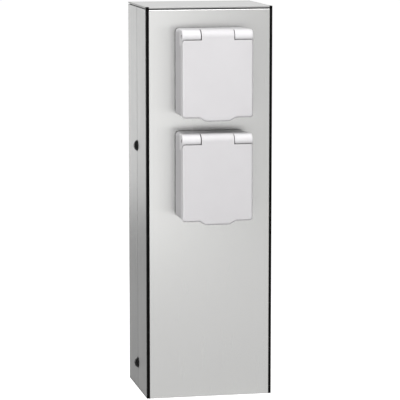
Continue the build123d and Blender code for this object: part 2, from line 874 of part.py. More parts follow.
def make_socket_box(mid):
    """Wall box of a socket, open to the front, cut back at the top for the frame's hinge block."""
    inner_width = body_width - 2 * body_wall
    inner_height = body_height - 2 * body_wall
    with BuildPart() as box:
        with BuildSketch(front_plane(box_back_y, mid)):
            RectangleRounded(body_width, body_height, body_corner)
        extrude(amount=box_back_y - box_front_y)
        with BuildSketch(front_plane(box_floor_y, mid)):
            RectangleRounded(inner_width, inner_height, body_corner - body_wall)
        extrude(amount=box_floor_y - box_front_y, mode=Mode.SUBTRACT)
        with BuildSketch(front_plane(box_back_y + cut_over, mid - insert_drop)):
            cutout_outline()
            with Locations((-ear_screw_x, 0), (ear_screw_x, 0)):
                Circle(stud_hole_radius)
        extrude(amount=body_wall + 2 * cut_over, mode=Mode.SUBTRACT)
        with BuildSketch(side_plane(-side_x, block_back_y, mid + block_foot)):
            Rectangle(block_back_y - frame_front_y, body_height, align=(Align.MAX, Align.MIN))
        extrude(amount=post_width, mode=Mode.SUBTRACT)
    return box


def make_frame(mid):
    """Front frame with the hinge block: two knuckles, and a trough for the lid's barrel."""
    top = body_height / 2
    hinge_z = mid + hinge_up
    ring_width = body_width - 2 * body_wall - 2 * lip_ring_gap
    ring_foot = -(body_height / 2 - body_wall - lip_ring_gap)
    ring_height = block_foot - ring_foot
    with BuildPart() as frame:
        with BuildSketch(front_plane(box_front_y, mid)) as face:
            with Locations((0, -frame_foot)):
                Rectangle(2 * frame_half, frame_foot + block_foot, align=(Align.CENTER, Align.MIN))
            fillet(face.vertices().group_by(Axis.Y)[0], frame_corner)
        extrude(amount=frame_thick)
        with BuildSketch(front_plane(box_front_y, mid)) as ring:
            with Locations((0, ring_foot)):
                Rectangle(ring_width, ring_height, align=(Align.CENTER, Align.MIN))
                fillet(ring.vertices().group_by(Axis.Y)[0], body_corner - body_wall)
                with Locations((0, lip_ring_wall)):
                    Rectangle(
                        ring_width - 2 * lip_ring_wall,
                        ring_height - 2 * lip_ring_wall,
                        align=(Align.CENTER, Align.MIN),
                        mode=Mode.SUBTRACT,
                    )
        extrude(amount=-lip_ring_depth)
        with BuildSketch(side_plane(-frame_half, hinge_y, hinge_z)):
            with Locations((0, knuckle_radius)):
                Rectangle(block_back_y - hinge_y, top - block_foot, align=(Align.MIN, Align.MAX))
            with Locations((0, block_foot - hinge_up)):
                Rectangle(hinge_y - frame_front_y, hinge_up - block_foot, align=(Align.MAX, Align.MIN))
            Circle(knuckle_radius)
        extrude(amount=2 * frame_half)
        ends = frame.faces().filter_by(Axis.X).group_by(Axis.X)
        rims = [edge for face in (*ends[0], *ends[-1]) for edge in face.edges()]
        fillet([edge for edge in rims if edge.center().Z > hinge_z], knuckle_round)
        with Locations(Location((0, hinge_y, hinge_z), (0, 90, 0))):
            Cylinder(trough_radius, 2 * knuckle_x, mode=Mode.SUBTRACT)
            Cylinder(pin_radius + pin_seat_gap, 2 * frame_half, mode=Mode.SUBTRACT)
        turned(spring_leg_plane(mid), 0, leg_end_x + spring_hole_gap, leg_hole_radius, Mode.SUBTRACT)
        with BuildSketch(front_plane(frame_front_y, mid - insert_drop)):
            RectangleRounded(
                insert_plate + 2 * insert_gap, insert_plate + 2 * insert_gap, insert_corner + insert_gap
            )
        extrude(amount=-insert_plate_thick, mode=Mode.SUBTRACT)
        with BuildSketch(front_plane(frame_front_y, mid - insert_drop)):
            Circle(cup_outer_radius + cup_gap)
        extrude(amount=-frame_thick, mode=Mode.SUBTRACT)
    return frame


def spring_leg_plane(mid):
    """Faces right at the socket's middle, on the line of the spring's fixed leg."""
    return side_plane(0, hinge_y + spring_radius, mid + hinge_up + spring_bend)


def make_lid(mid):
    """Hinged lid with its barrel, a finger tab at the foot, and a groove for the seal."""
    hinge_z = mid + hinge_up
    barrel_axis = Location((0, hinge_y, hinge_z), (0, 90, 0))
    tab_foot = -frame_foot - tab_depth
    with BuildPart() as lid:
        with BuildSketch(front_plane(lid_back_y, mid)) as face:
            with Locations((0, -frame_foot)):
                Rectangle(2 * frame_half, frame_foot + hinge_up, align=(Align.CENTER, Align.MIN))
            fillet(face.vertices().group_by(Axis.Y)[0], lid_corner)
            with BuildLine():
                Polyline(
                    (-tab_top_width / 2, -frame_foot),
                    (-tab_foot_width / 2, tab_foot),
                    (tab_foot_width / 2, tab_foot),
                    (tab_top_width / 2, -frame_foot),
                    close=True,
                )
            make_face()
            fillet(face.vertices().group_by(Axis.Y)[0], tab_corner)
        extrude(amount=lid_thick)
        for side in (-1, 1):
            with Locations((side * (frame_half + barrel_length / 2) / 2, hinge_y, hinge_z)):
                Cylinder(
                    trough_radius, frame_half - barrel_length / 2, rotation=(0, 90, 0), mode=Mode.SUBTRACT
                )
        front = lid.faces().filter_by(Axis.Y).sort_by(Axis.Y)[0]
        rim = [edge for edge in front.edges() if edge.center().Z < hinge_z - barrel_radius / 2]
        fillet(rim, lid_round)
        with Locations(barrel_axis):
            Cylinder(barrel_radius, barrel_length)
            Cylinder(pin_radius + pin_running_gap, barrel_length, mode=Mode.SUBTRACT)
        turned(
            side_plane(barrel_length / 2 - pocket_depth, hinge_y, hinge_z),
            0,
            pocket_depth,
            pocket_radius,
            Mode.SUBTRACT,
        )
        leg_start = barrel_length / 2 - pocket_depth - spring_leg
        turned(
            side_plane(leg_start, hinge_y + spring_radius, hinge_z - spring_bend),
            0,
            spring_leg,
            leg_hole_radius,
            Mode.SUBTRACT,
        )
        with BuildSketch(front_plane(lid_back_y, mid)):
            seal_outline(0, seal_width)
        extrude(amount=seal_groove, mode=Mode.SUBTRACT)
        with BuildSketch(front_plane(lid_back_y, mid)):
            seal_rectangle(lid_pocket_inset)
        extrude(amount=lid_pocket_depth, mode=Mode.SUBTRACT)
    return lid


def seal_rectangle(inset, mode=Mode.ADD):
    """The seal's rectangle, drawn in by inset, around the socket's middle."""
    with Locations((0, (seal_top - seal_foot) / 2)):
        RectangleRounded(
            2 * (seal_reach - inset),
            seal_top + seal_foot - 2 * inset,
            max(seal_corner - inset, seal_fit_gap),
            mode=mode,
        )


def seal_outline(gap, width):
    """The ring of the seal, or with no gap that of its groove."""
    seal_rectangle(gap)
    seal_rectangle(width - gap, Mode.SUBTRACT)


def make_lid_seal(mid):
    with BuildPart() as seal:
        with BuildSketch(front_plane(lid_back_y + lid_gap - seal_clear, mid)):
            seal_outline(seal_fit_gap, seal_width)
        extrude(amount=seal_groove + lid_gap - seal_clear)
    return seal


def make_hinge_pin(mid):
    length = 2 * (frame_half - pin_sink)
    with BuildPart() as pin:
        turned(side_plane(-length / 2, hinge_y, mid + hinge_up), 0, length, pin_radius)
        chamfer(pin.edges().filter_by(GeomType.CIRCLE), pin_chamfer)
    return pin


def make_hinge_spring(mid):
    """Closing spring around the pin: one leg in the lid's barrel, one in the right knuckle."""
    hinge_z = mid + hinge_up
    start_x = spring_start_x

    def on_coil(x, angle, radius):
        return Vector(x, hinge_y + radius * cos(angle), hinge_z + radius * sin(angle))

    def bend(corner, along, turn):
        """A quarter bend from the coil's end point into a straight leg."""
        centre = corner + Vector(along * spring_bend, 0, 0)
        reach = spring_bend * sqrt(2) / 2
        middle = centre + Vector(-along * reach, 0, turn * reach)
        return ThreePointArc(corner, middle, centre + Vector(0, 0, turn * spring_bend))

    half_pitch = spring_pitch / 2
    swing = sqrt(spring_radius**2 + (half_pitch / 2) ** 2)
    first = on_coil(start_x, 0, spring_radius)
    last = on_coil(start_x + spring_length, 0, spring_radius)
    moving_end = (barrel_length / 2 - pocket_depth - spring_leg + spring_hole_gap, first.Y)
    with BuildPart() as spring:
        with BuildLine() as coil:
            entry = bend(first, -1, -1)
            Line(Vector(*moving_end, hinge_z - spring_bend), entry @ 1)
            for half in range(2 * spring_turns):
                x = start_x + half * half_pitch
                ThreePointArc(
                    on_coil(x, pi * half, spring_radius),
                    on_coil(x + half_pitch / 2, pi * (half + 1 / 2), swing),
                    on_coil(x + half_pitch, pi * (half + 1), spring_radius),
                )
            leave = bend(last, 1, 1)
            Line(leave @ 1, Vector(leg_end_x, first.Y, hinge_z + spring_bend))
        path = coil.wires()[0]
        with BuildSketch(Plane(origin=path @ 0, z_dir=path % 0)) as wire:
            Circle(spring_wire_radius)
        sweep(wire.sketch, path=path)
    return spring


def make_insert(mid):
    """Round cup with two pin holes, side guides and slots for the earth clip."""
    centre = mid - insert_drop
    front = front_plane(frame_front_y, centre)
    with BuildPart() as insert:
        with BuildSketch(front):
            RectangleRounded(insert_plate, insert_plate, insert_corner)
        extrude(amount=-insert_plate_thick)
        turned(front, -cup_depth - cup_floor, cup_depth + cup_floor, cup_outer_radius)
        turned(front, -cup_depth, cup_depth, cup_radius, Mode.SUBTRACT)
        mouth = insert.edges().filter_by(GeomType.CIRCLE).group_by(Axis.Y)[0]
        fillet(mouth.sort_by(SortBy.RADIUS)[0], cup_round)
        with BuildSketch(front.offset(-cup_depth)):
            for side in (-1, 1):
                with Locations((side * (cup_radius - guide_height), 0)):
                    Rectangle(
                        guide_height + cup_wall / 2,
                        guide_width,
                        align=(Align.MIN if side > 0 else Align.MAX, Align.CENTER),
                    )
        extrude(amount=cup_depth - guide_setback)
        slot_depth_y = cup_back_y - (carrier_front_y - clip_reach) + clip_slot_gap
        slot_inner = clip_crown - clip_sheet / 2 - clip_slot_gap
        slot_outer = clip_root + clip_sheet / 2 + clip_slot_gap
        with BuildSketch(front_plane(cup_back_y, centre)):
            for side in (-1, 1):
                with Locations((0, side * (slot_inner + slot_outer) / 2)):
                    Rectangle(clip_width + 2 * clip_slot_gap, slot_outer - slot_inner)
        extrude(amount=slot_depth_y, mode=Mode.SUBTRACT)
        for side in (-1, 1):
            turned(
                front.shift_origin((side * contact_x, frame_front_y, centre)),
                -cup_depth - cup_floor,
                cup_floor,
                pin_hole_radius,
                Mode.SUBTRACT,
            )
        floor = front.offset(-cup_depth)
        turned(floor, -cup_floor, cup_floor, centre_screw_radius + centre_hole_gap, Mode.SUBTRACT)
        coned(
            floor,
            -centre_head_height,
            centre_head_height,
            centre_screw_radius + centre_hole_gap,
            centre_head_radius + centre_hole_gap,
            Mode.SUBTRACT,
        )
    return insert


def make_earth_clip(mid):
    """Springy strap behind the cup, with a finger at the cup's top and foot and a terminal block."""
    centre = mid - insert_drop
    strap_y = cup_back_y + clip_sheet / 2
    tip_y = strap_y - clip_reach
    crown_y = strap_y - clip_reach / 2
    tab_top = -carrier_height / 2 - clip_tab_gap
    with BuildPart() as clip:
        with BuildSketch(side_plane(0, 0, centre)):
            with BuildLine():
                FilletPolyline(
                    (tip_y, -clip_tip),
                    (crown_y, -clip_crown),
                    (strap_y - clip_bend, -clip_root),
                    (strap_y, -clip_root),
                    (strap_y, clip_root),
                    (strap_y - clip_bend, clip_root),
                    (crown_y, clip_crown),
                    (tip_y, clip_tip),
                    radius=clip_round,
                )
            trace(line_width=clip_sheet)
            with Locations((strap_y, tab_top)):
                Rectangle(block_end_y - strap_y, clip_sheet, align=(Align.MIN, Align.MAX))
        extrude(amount=clip_width / 2, both=True)
        with Locations((0, block_end_y, centre + tab_top)):
            Box(
                block_size,
                block_size,
                clip_sheet + earth_block_drop,
                align=(Align.CENTER, Align.MAX, Align.MAX),
            )
        with Locations((0, wire_y, centre + tab_top - clip_sheet)):
            Cylinder(
                core_radius + core_gap,
                earth_block_drop,
                align=(Align.CENTER, Align.CENTER, Align.MAX),
                mode=Mode.SUBTRACT,
            )
        turned(
            front_plane(block_end_y, centre + tab_top - clip_sheet - earth_block_drop / 2),
            0,
            block_wire_inset,
            contact_screw_radius + thread_gap,
            Mode.SUBTRACT,
        )
        turned(
            front_plane(cup_back_y + clip_sheet, centre),
            0,
            clip_sheet,
            centre_screw_radius + centre_hole_gap,
            Mode.SUBTRACT,
        )
    return clip


def make_contact(mid, side):
    """Split brass sleeve for one plug pin, with its screw block. side is -1 for line, 1 for neutral."""
    centre = mid - insert_drop
    start = front_plane(sleeve_back_y, centre).shift_origin((side * contact_x, sleeve_back_y, centre))
    sleeve = contact_sleeve - clip_sheet
    with BuildPart() as contact:
        turned(start, 0, sleeve, contact_outer_radius)
        with Locations((side * contact_x, sleeve_back_y, centre)):
            Box(block_size, block_size, block_size, align=(Align.CENTER, Align.MIN, Align.CENTER))
        turned(start, -clip_sheet, sleeve + clip_sheet, contact_inner_radius, Mode.SUBTRACT)
        with Locations((side * contact_x, sleeve_back_y, centre)):
            Box(
                contact_slit,
                sleeve - clip_sheet,
                2 * contact_outer_radius,
                align=(Align.CENTER, Align.MAX, Align.CENTER),
                mode=Mode.SUBTRACT,
            )
        with Locations((side * contact_x, wire_y, centre)):
            Cylinder(
                core_radius + core_gap,
                block_size / 2,
                align=(Align.CENTER, Align.CENTER, Align.MAX),
                mode=Mode.SUBTRACT,
            )
        turned(
            start.offset(-block_size),
            0,
            block_wire_inset,
            contact_screw_radius + thread_gap,
            Mode.SUBTRACT,
        )
    return contact


def make_contact_carrier(mid):
    """Block that holds the contacts, with two ears that are screwed to the panel."""
    centre = mid - insert_drop
    pocket = block_size + 2 * block_gap
    with BuildPart() as carrier:
        with BuildSketch(front_plane(carrier_back_y, centre)):
            Rectangle(carrier_width, carrier_height)
        extrude(amount=carrier_back_y - carrier_front_y)
        with BuildSketch(front_plane(box_floor_y, centre)):
            Rectangle(2 * ear_reach, ear_height)
            with Locations((-ear_screw_x, 0), (ear_screw_x, 0)):
                Circle(stud_hole_radius, mode=Mode.SUBTRACT)
        extrude(amount=ear_thick)
        with BuildSketch(front_plane(block_end_y, centre)):
            with Locations((-contact_x, 0), (contact_x, 0)):
                Rectangle(pocket, pocket)
        extrude(amount=block_end_y - carrier_front_y, mode=Mode.SUBTRACT)
        with BuildSketch(front_plane(carrier_back_y, centre)):
            with Locations((-contact_x, 0), (contact_x, 0)):
                Circle(contact_screw_radius + centre_hole_gap)
        extrude(amount=carrier_back_wall, mode=Mode.SUBTRACT)
        with BuildSketch(Plane.XY.offset(centre - carrier_height / 2)):
            with Locations((-contact_x, wire_y), (contact_x, wire_y)):
                Circle(wire_radius + wire_gap)
        extrude(amount=carrier_height / 2, mode=Mode.SUBTRACT)
        turned(
            front_plane(carrier_front_y, centre),
            -centre_screw_length,
            centre_screw_length,
            centre_screw_radius + thread_gap,
            Mode.SUBTRACT,
        )
    return carrier


def make_centre_screws():
    """Countersunk screws that pull each insert and its frame onto the carrier."""
    with BuildPart() as screws:
        for mid in socket_mids:
            floor = front_plane(cup_floor_y, mid - insert_drop)
            turned(floor, -centre_screw_length, centre_screw_length, centre_screw_radius)
            coned(
                floor, -centre_head_height, centre_head_height, centre_screw_radius, centre_head_radius
            )
            with Locations(floor.offset(-slot_depth / 2)):
                Box(slot_width, 2 * centre_head_radius, slot_depth, mode=Mode.SUBTRACT)
    return screws


def make_contact_screws():
    """Screws that clamp the wires in the contacts and in the earth blocks."""
    tab_top = -carrier_height / 2 - clip_tab_gap
    earth_z = tab_top - clip_sheet - earth_block_drop / 2
    with BuildPart() as screws:
        for mid in socket_mids:
            for x, z in ((-contact_x, 0), (contact_x, 0), (0, earth_z)):
                start = front_plane(block_end_y, mid - insert_drop + z)
                plane = start.shift_origin((x, block_end_y, start.origin.Z))
                turned(plane, 0, contact_screw_length, contact_screw_radius)
                with Locations(plane.offset(slot_depth / 2)):
                    Box(slot_width, 2 * contact_screw_radius, slot_depth, mode=Mode.SUBTRACT)
    return screws


def make_socket_screws():
    """Screws from inside each box, through carrier, box, seal and panel."""
    grip = ear_thick + body_wall + socket_gasket_thick + panel_sheet
    length = grip + m4_nut_height + stud_tail / 2
    with BuildPart() as screws:
        for x, z in socket_screw_places():
            plane = front_plane(ear_front_y, z).shift_origin((x, ear_front_y, z))
            turned(plane, 0, m4_head_height, m4_head_radius)
            turned(plane, -length, length, stud_radius)
            with Locations(plane.offset(m4_head_height - slot_depth / 2)):
                Box(slot_width, 2 * m4_head_radius, slot_depth, mode=Mode.SUBTRACT)
    return screws


def make_socket_nuts():
    with BuildPart() as nuts:
        with BuildSketch(front_plane(panel_back_y)):
            with Locations(*socket_screw_places()):
                RegularPolygon(m4_nut_flats / 2, 6, major_radius=False)
                Circle(stud_radius + thread_gap, mode=Mode.SUBTRACT)
        extrude(amount=-m4_nut_height)
    return nuts


def wire_route(order, socket):
    """Corner points of one wire, from a rail terminal up to a socket's contact.

    order is -1 for line, 0 for neutral and 1 for earth; socket is 0 for the lower, 1 for the upper.
    """
    centre = socket_mids[socket] - insert_drop
    contact_xs = (-contact_x, contact_x, 0)
    contact_foot = centre - carrier_height / 2
    if order == 1:
        contact_foot = contact_foot - clip_tab_gap - clip_sheet - earth_block_drop
    end_z = contact_foot + (0 if order == 1 else carrier_height / 2 - block_size / 2)
    start = Vector(order * terminal_pitch, entry_ys[socket], terminal_top_z)
    target = Vector(contact_xs[order + 1], wire_y, contact_foot)
    rise = target.Z - start.Z
    return [
        start - Vector(0, 0, entry_depth),
        Vector(start.X, start.Y, start.Z + slope_start_shares[socket] * rise),
        Vector(target.X, target.Y, start.Z + slope_end_shares[socket] * rise),
        Vector(target.X, target.Y, end_z),
    ]


def route_radii(points):
    """One bend radius for each inner corner, as large as the two runs allow."""
    radii = []
    for before, corner, after in zip(points, points[1:], points[2:]):
        run_in = corner - before
        run_out = after - corner
        turn = run_in.get_angle(run_out) * pi / 180
        radii.append(wire_bend_share * min(run_in.length, run_out.length) / tan(turn / 2))
    return radii


def make_wires(order):
    """Two wires of one colour: to the lower and to the upper socket."""
    with BuildPart() as wires:
        for socket in (0, 1):
            points = wire_route(order, socket)
            with BuildLine() as route:
                FilletPolyline(*points, radius=route_radii(points))
            path = route.wires()[0]
            with BuildSketch(Plane(origin=points[0], z_dir=(0, 0, 1))) as section:
                Circle(wire_radius)
            sweep(section.sketch, path=path)
            turned(Plane(points[0]), -entry_depth, entry_depth, core_radius)
            turned(Plane(points[-1]), 0, block_size / 2, core_radius)
    return wires


os.makedirs("parts", exist_ok=True)

write(make_housing_shell(), "housing_shell")
write(make_front_panel(), "front_panel")
write(make_edge_strip(-1), "left_edge_strip")
write(make_edge_strip(1), "right_edge_strip")
write(make_panel_studs(), "panel_studs")
write(make_panel_nuts(), "panel_nuts")
write(make_top_gasket(), "top_gasket")
write(make_top_cover(), "top_cover")
write(make_cover_studs(), "cover_studs")
write(make_cover_nuts(), "cover_nuts")
write(make_housing_screws(), "housing_screws")
write(make_rivet_nuts(), "rivet_nuts")
write(make_base_plate(), "base_plate")
write(make_upright(-1), "left_upright")
write(make_upright(1), "right_upright")
write(make_foot_bolts(), "foot_bolts")
write(make_cable_grommet(), "cable_grommet")
write(make_rail_bracket(), "rail_bracket")
write(make_bracket_rivets(), "bracket_rivets")
write(make_terminal_rail(), "terminal_rail")
write(make_rail_screws(), "rail_screws")
write(make_terminal_screws(), "terminal_screws")
write(make_end_clamps(), "end_clamps")
for order, phase in zip((-1, 0, 1), phase_names):
    write(make_terminal(order), f"{phase}_terminal")
    write(make_wires(order), f"{phase}_wires")

for mid, name in zip(socket_mids, socket_names):
    write(make_socket_gasket(mid), f"{name}_socket_gasket")
    write(make_socket_box(mid), f"{name}_socket_box")
    write(make_frame(mid), f"{name}_frame")
    write(make_lid(mid), f"{name}_lid")
    write(make_lid_seal(mid), f"{name}_lid_seal")
    write(make_hinge_pin(mid), f"{name}_hinge_pin")
    write(make_hinge_spring(mid), f"{name}_hinge_spring")
    write(make_insert(mid), f"{name}_insert")
    write(make_earth_clip(mid), f"{name}_earth_clip")
    write(make_contact(mid, -1), f"{name}_line_contact")
    write(make_contact(mid, 1), f"{name}_neutral_contact")
    write(make_contact_carrier(mid), f"{name}_contact_carrier")

write(make_centre_screws(), "centre_screws")
write(make_contact_screws(), "contact_screws")
write(make_socket_screws(), "socket_screws")
write(make_socket_nuts(), "socket_nuts")
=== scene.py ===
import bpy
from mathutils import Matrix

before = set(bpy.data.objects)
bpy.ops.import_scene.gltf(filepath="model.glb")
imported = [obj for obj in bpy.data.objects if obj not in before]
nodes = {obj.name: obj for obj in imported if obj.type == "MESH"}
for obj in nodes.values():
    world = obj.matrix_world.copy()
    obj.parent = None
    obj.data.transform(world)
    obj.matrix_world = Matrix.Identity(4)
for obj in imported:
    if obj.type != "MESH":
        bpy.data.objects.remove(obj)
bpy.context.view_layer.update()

import math

import bpy
from mathutils import Vector

# Lengths are in metres, noise scales are per metre, and colours are linear.

scene = bpy.context.scene
scene.view_settings.view_transform = "Standard"

white_light = (1, 1, 1, 1)

# A Mix node's sockets for its two colours and their result
mix_first = 6
mix_second = 7
mix_result = 2

# Rays for each look at an edge or a gap
edge_samples = 6
gap_samples = 8

# The edge mask is 1 where the dot product of the rounded and the true normal is down by this
edge_drop = 1 / 3.0


def new_tree(name):
    """An empty material, its node tree and its output."""
    material = bpy.data.materials.new(name)
    material.use_nodes = True
    tree = material.node_tree
    tree.nodes.clear()
    output = tree.nodes.new("ShaderNodeOutputMaterial")
    return material, tree, output


def stretched(tree, scale=(1, 1, 1)):
    """Object coordinates in metres, stretched by a scale for each axis."""
    coordinates = tree.nodes.new("ShaderNodeTexCoord")
    mapping = tree.nodes.new("ShaderNodeMapping")
    mapping.inputs["Scale"].default_value = scale
    tree.links.new(coordinates.outputs["Object"], mapping.inputs["Vector"])
    return mapping.outputs["Vector"]


def noise(tree, vector, scale=1.0, detail=4.0, roughness=0.55):
    """A noise value between 0 and 1."""
    texture = tree.nodes.new("ShaderNodeTexNoise")
    texture.inputs["Scale"].default_value = scale
    texture.inputs["Detail"].default_value = detail
    texture.inputs["Roughness"].default_value = roughness
    tree.links.new(vector, texture.inputs["Vector"])
    return texture.outputs["Fac"]


def span(tree, value, low, high, start=0.3, end=0.7):
    """The value's range from start to end, spread over low to high."""
    node = tree.nodes.new("ShaderNodeMapRange")
    node.inputs["From Min"].default_value = start
    node.inputs["From Max"].default_value = end
    node.inputs["To Min"].default_value = low
    node.inputs["To Max"].default_value = high
    tree.links.new(value, node.inputs["Value"])
    return node.outputs["Result"]


def blended(tree, factor, first, second):
    """The first colour where the factor is 0, and the second where it is 1."""
    node = tree.nodes.new("ShaderNodeMix")
    node.data_type = "RGBA"
    tree.links.new(factor, node.inputs["Factor"])
    for socket, colour in ((node.inputs[mix_first], first), (node.inputs[mix_second], second)):
        if isinstance(colour, tuple):
            socket.default_value = (*colour, 1)
        else:
            tree.links.new(colour, socket)
    return node.outputs[mix_result]


def shaded(colour, factor):
    """A colour made darker or brighter."""
    return tuple(min(1, part * factor) for part in colour)


def edge_mask(tree, radius):
    """A mask, about 1 on a sharp edge and 0 on a flat face, and a normal that rounds the edge."""
    bevel = tree.nodes.new("ShaderNodeBevel")
    bevel.samples = edge_samples
    bevel.inputs["Radius"].default_value = radius
    geometry = tree.nodes.new("ShaderNodeNewGeometry")
    dot = tree.nodes.new("ShaderNodeVectorMath")
    dot.operation = "DOT_PRODUCT"
    tree.links.new(bevel.outputs["Normal"], dot.inputs[0])
    tree.links.new(geometry.outputs["Normal"], dot.inputs[1])
    mask = span(tree, dot.outputs["Value"], 1, 0, start=1 - edge_drop, end=1)
    return mask, bevel.outputs["Normal"]


def crevices(tree, distance, start, end):
    """1 on an open surface and towards 0 in narrow gaps."""
    occlusion = tree.nodes.new("ShaderNodeAmbientOcclusion")
    occlusion.samples = gap_samples
    occlusion.inputs["Distance"].default_value = distance
    return span(tree, occlusion.outputs["AO"], 0, 1, start, end)


def upward(tree):
    """1 on a surface that faces up and 0 on an upright one."""
    geometry = tree.nodes.new("ShaderNodeNewGeometry")
    parts = tree.nodes.new("ShaderNodeSeparateXYZ")
    tree.links.new(geometry.outputs["True Normal"], parts.inputs["Vector"])
    return span(tree, parts.outputs["Z"], 0, 1, start=0.75, end=0.98)


def bumped(tree, heights, normal=None):
    """A normal from one or more (height, strength, depth)."""
    for height, strength, depth in heights:
        bump = tree.nodes.new("ShaderNodeBump")
        bump.inputs["Strength"].default_value = strength
        bump.inputs["Distance"].default_value = depth
        tree.links.new(height, bump.inputs["Height"])
        if normal is not None:
            tree.links.new(normal, bump.inputs["Normal"])
        normal = bump.outputs["Normal"]
    return normal


def principled(tree, output, colour, roughness, normal, **values):
    """The shader, with linked colour, roughness and normal, and constants on its own sockets."""
    shader = tree.nodes.new("ShaderNodeBsdfPrincipled")
    for name, value in values.items():
        shader.inputs[name.replace("_", " ")].default_value = value
    tree.links.new(colour, shader.inputs["Base Color"])
    tree.links.new(roughness, shader.inputs["Roughness"])
    tree.links.new(normal, shader.inputs["Normal"])
    tree.links.new(shader.outputs["BSDF"], output.inputs["Surface"])
    return shader


def brushed_steel(
    name,
    colour,
    rough=(0.3, 0.42),
    grain=(900, 900, 12),
    contrast=0.05,
    spread=0.5,
    grain_bump=0.03,
    tint=1.0,
    gaps=(0.0015, 0.3, 0.7),
    upright_shade=False,
):
    """Steel with a fine grain that is long along one axis, handling marks, bright edges, and
    painted shade in gaps and hollows.

    gaps are the arguments of crevices, for the painted shade in gaps. The upright switch gives
    upright faces painted shade: a darker colour and a weaker reflection than faces that point up.
    """
    material, tree, output = new_tree(name)
    fine_grain = tuple(3 * part for part in grain)
    lines = noise(tree, stretched(tree, grain), detail=5.0, roughness=0.6)
    fine = noise(tree, stretched(tree, fine_grain), detail=3.0, roughness=0.7)
    clouds = noise(tree, stretched(tree, (1, 1, 0.6)), scale=9.0, detail=3.0, roughness=0.5)
    mask, normal = edge_mask(tree, radius=0.0004)

    dark_line = shaded(colour, 1 - contrast)
    bright_line = shaded(colour, 1 + contrast)
    handled = shaded(colour, 0.93)
    bright_edge = shaded(colour, 1.12)
    painted_gap_shade = shaded(colour, 0.15)
    base = blended(tree, span(tree, lines, 0, 1), dark_line, bright_line)
    base = blended(tree, span(tree, clouds, 0, 0.25), base, handled)
    base = blended(tree, mask, base, bright_edge)
    # Painted shade: the colour falls to 0.15 of itself where narrow gaps and hollows occlude the
    # surface.
    base = blended(tree, crevices(tree, *gaps), painted_gap_shade, base)
    if upright_shade:
        # Painted shade: upright faces take a darker copy of the colour than faces that point up.
        upright_painted_shade = shaded(colour, 0.62)
        base = blended(tree, upward(tree), upright_painted_shade, base)

    streaks = span(tree, lines, *rough)
    line_depth = 0.00006
    fine_depth = 0.00003
    bumps = [(lines, grain_bump, line_depth), (fine, grain_bump, fine_depth)]
    normal = bumped(tree, bumps, normal)
    shader = principled(
        tree, output, base, streaks, normal,
        Metallic=1.0, Anisotropic=spread, Specular_Tint=(tint, tint, tint, 1),
    )
    if upright_shade:
        # Painted shade: upright faces get a weaker reflection than faces that point up.
        upright_reflection_shade = blended(tree, upward(tree), (0.25, 0.25, 0.25), (1, 1, 1))
        tree.links.new(upright_reflection_shade, shader.inputs["Specular Tint"])
    return material


def zinc_plate(name, colour, rough=(0.3, 0.5)):
    """Zinc plating: faint spangle, uneven gloss and bright edges."""
    material, tree, output = new_tree(name)
    place = stretched(tree)
    spangle = tree.nodes.new("ShaderNodeTexVoronoi")
    spangle.inputs["Scale"].default_value = 260
    tree.links.new(place, spangle.inputs["Vector"])
    clouds = noise(tree, place, scale=60.0)
    mask, normal = edge_mask(tree, radius=0.0003)

    dark_grain = shaded(colour, 0.86)
    bright_grain = shaded(colour, 1.08)
    yellowed = (*shaded(colour[:2], 1.02), colour[2] * 0.9)
    bright_edge = shaded(colour, 1.3)
    base = blended(tree, spangle.outputs["Distance"], dark_grain, bright_grain)
    base = blended(tree, span(tree, clouds, 0, 0.5), base, yellowed)
    base = blended(tree, mask, base, bright_edge)

    cloud_bump = 0.12
    cloud_depth = 0.0001
    normal = bumped(tree, [(clouds, cloud_bump, cloud_depth)], normal)
    principled(tree, output, base, span(tree, clouds, *rough), normal, Metallic=1.0)
    return material


def moulded(name, colour, rough=(0.38, 0.5), grain=3800.0, grain_bump=0.1):
    """Moulded plastic: fine spark-eroded grain, faint flow clouds, softened edges, and painted
    shade in narrow gaps.
    """
    material, tree, output = new_tree(name)
    place = stretched(tree)
    fine = noise(tree, place, scale=grain, detail=2.0, roughness=0.6)
    clouds = noise(tree, place, scale=28.0, detail=3.0, roughness=0.5)
    normal = edge_mask(tree, radius=0.0004)[1]

    dark_flow = shaded(colour, 0.975)
    bright_flow = shaded(colour, 1.02)
    dark_grain = shaded(colour, 0.94)
    painted_gap_shade = shaded(colour, 0.02)
    base = blended(tree, span(tree, clouds, 0, 1), dark_flow, bright_flow)
    base = blended(tree, span(tree, fine, 0, 0.3), base, dark_grain)
    # Painted shade: the colour goes nearly black where narrow gaps occlude the surface.
    base = blended(tree, crevices(tree, distance=0.0024, start=0.35, end=0.75), painted_gap_shade, base)

    flow_bump = 0.03
    flow_depth = 0.0004
    grain_depth = 0.00005
    bumps = [(clouds, flow_bump, flow_depth), (fine, grain_bump, grain_depth)]
    normal = bumped(tree, bumps, normal)
    gloss = span(tree, clouds, *rough)
    principled(tree, output, base, gloss, normal, Specular_IOR_Level=0.15)
    return material


def coated(name, colour, rough, wear, specular):
    """Black coating: fine orange peel, uneven patches and edges rubbed a little brighter."""
    material, tree, output = new_tree(name)
    place = stretched(tree)
    peel = noise(tree, place, scale=1500.0, detail=3.0)
    patches = noise(tree, place, scale=180.0, detail=4.0, roughness=0.65)
    mask, normal = edge_mask(tree, radius=0.0005)
    rubbed = tree.nodes.new("ShaderNodeMath")
    rubbed.operation = "MULTIPLY"
    tree.links.new(mask, rubbed.inputs[0])
    tree.links.new(span(tree, patches, 0, wear, start=0.35, end=0.65), rubbed.inputs[1])

    dark_patch = shaded(colour, 0.85)
    bright_patch = shaded(colour, 1.3)
    worn = (0.1, 0.1, 0.105)
    base = blended(tree, span(tree, patches, 0, 1), dark_patch, bright_patch)
    base = blended(tree, rubbed.outputs["Value"], base, worn)

    peel_bump = 0.15
    peel_depth = 0.00006
    normal = bumped(tree, [(peel, peel_bump, peel_depth)], normal)
    gloss = span(tree, patches, *rough)
    principled(tree, output, base, gloss, normal, Specular_IOR_Level=specular)
    return material


